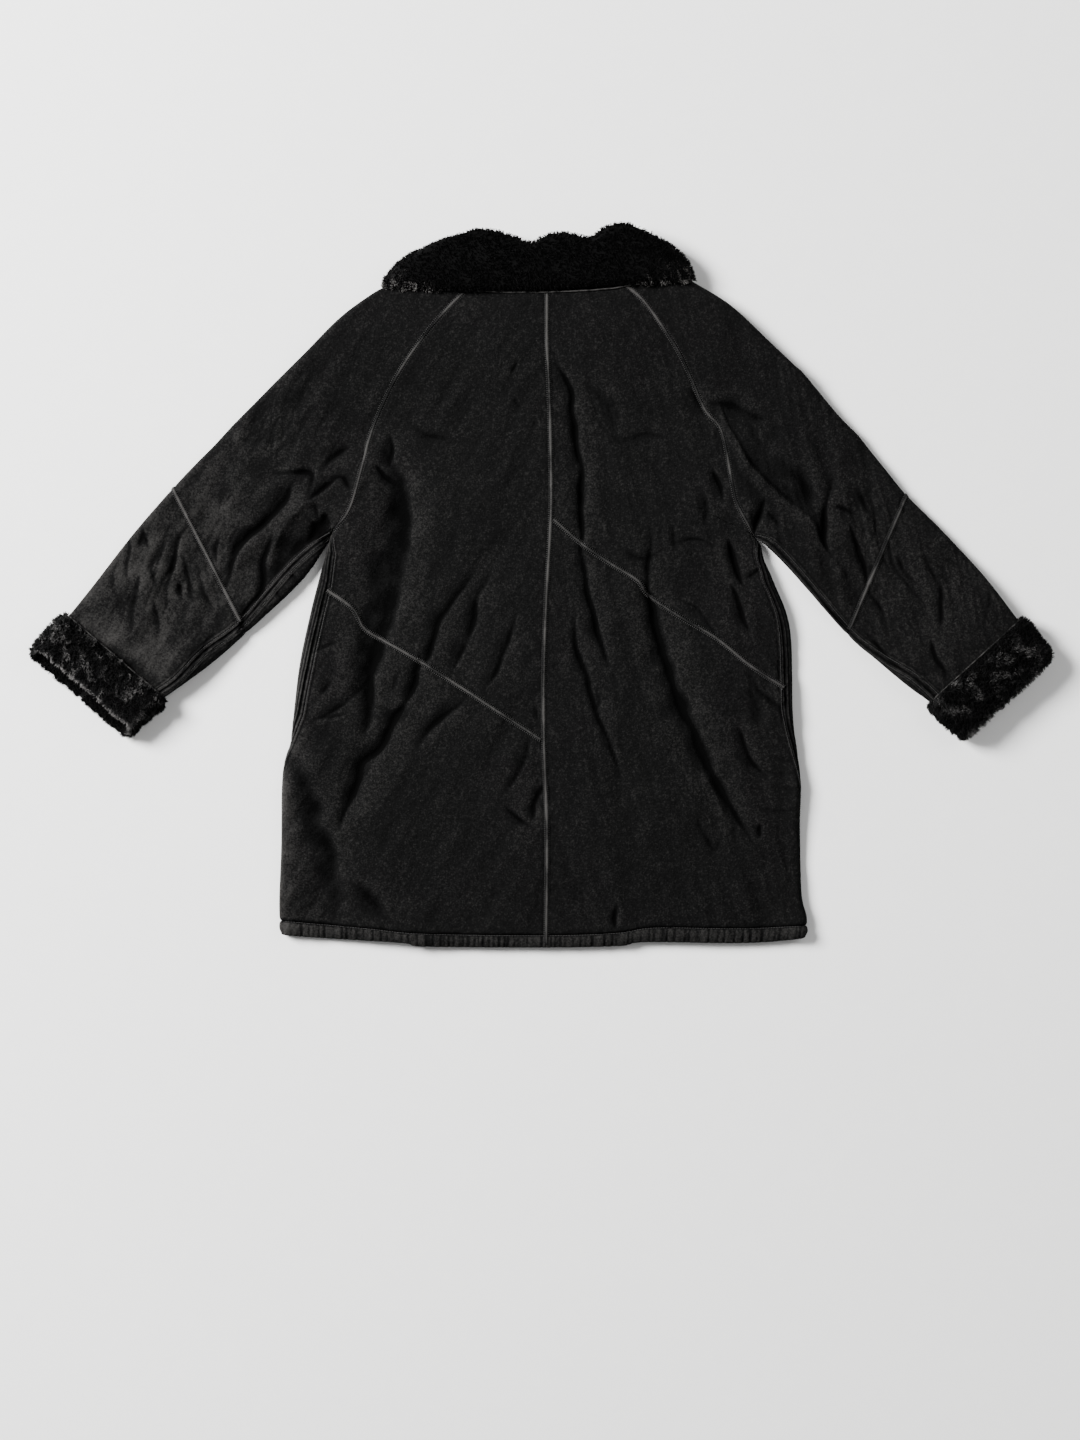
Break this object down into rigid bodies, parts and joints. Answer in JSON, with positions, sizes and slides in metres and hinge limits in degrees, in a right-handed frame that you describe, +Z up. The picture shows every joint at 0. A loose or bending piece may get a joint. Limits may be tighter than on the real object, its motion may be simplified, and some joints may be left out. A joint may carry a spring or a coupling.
{
  "type": "sheepskin coat",
  "caption": "Long black suede sheepskin coat laid flat, back up: raglan sleeves, slanted back seams, wide fur collar and turned-back fur cuffs.",
  "frame": {"origin": "on the surface the coat lies on, under the centre of its box", "axes": "+X across the coat towards its right sleeve as seen, +Y from the hem to the collar, +Z up from the surface, out of the coat's back"},
  "size_m": [1.3286, 0.9396, 0.0382],
  "materials": {
    "suede": "matte black suede, worn lighter at the folds",
    "strap": "narrow charcoal suede bands stitched over the seams",
    "wool": "dense black sheep's wool"
  },
  "bodies": {
    "root": {"back_left_upper": "suede", "back_left_lower": "suede", "back_right_upper": "suede", "back_right_lower": "suede", "front_left": "suede", "front_right": "suede", "sleeve_left_upper": "suede", "sleeve_left_lower": "suede", "sleeve_right_upper": "suede", "sleeve_right_lower": "suede", "hem_back_left": "suede", "hem_back_right": "suede", "hem_front_left": "suede", "hem_front_right": "suede", "strap_centre_back": "strap", "strap_raglan_left": "strap", "strap_raglan_right": "strap", "strap_yoke_left": "strap", "strap_yoke_right": "strap", "strap_elbow_left": "strap", "strap_elbow_right": "strap", "collar": "wool", "cuff_left": "wool", "cuff_right": "wool"}
  },
  "joints": []
}
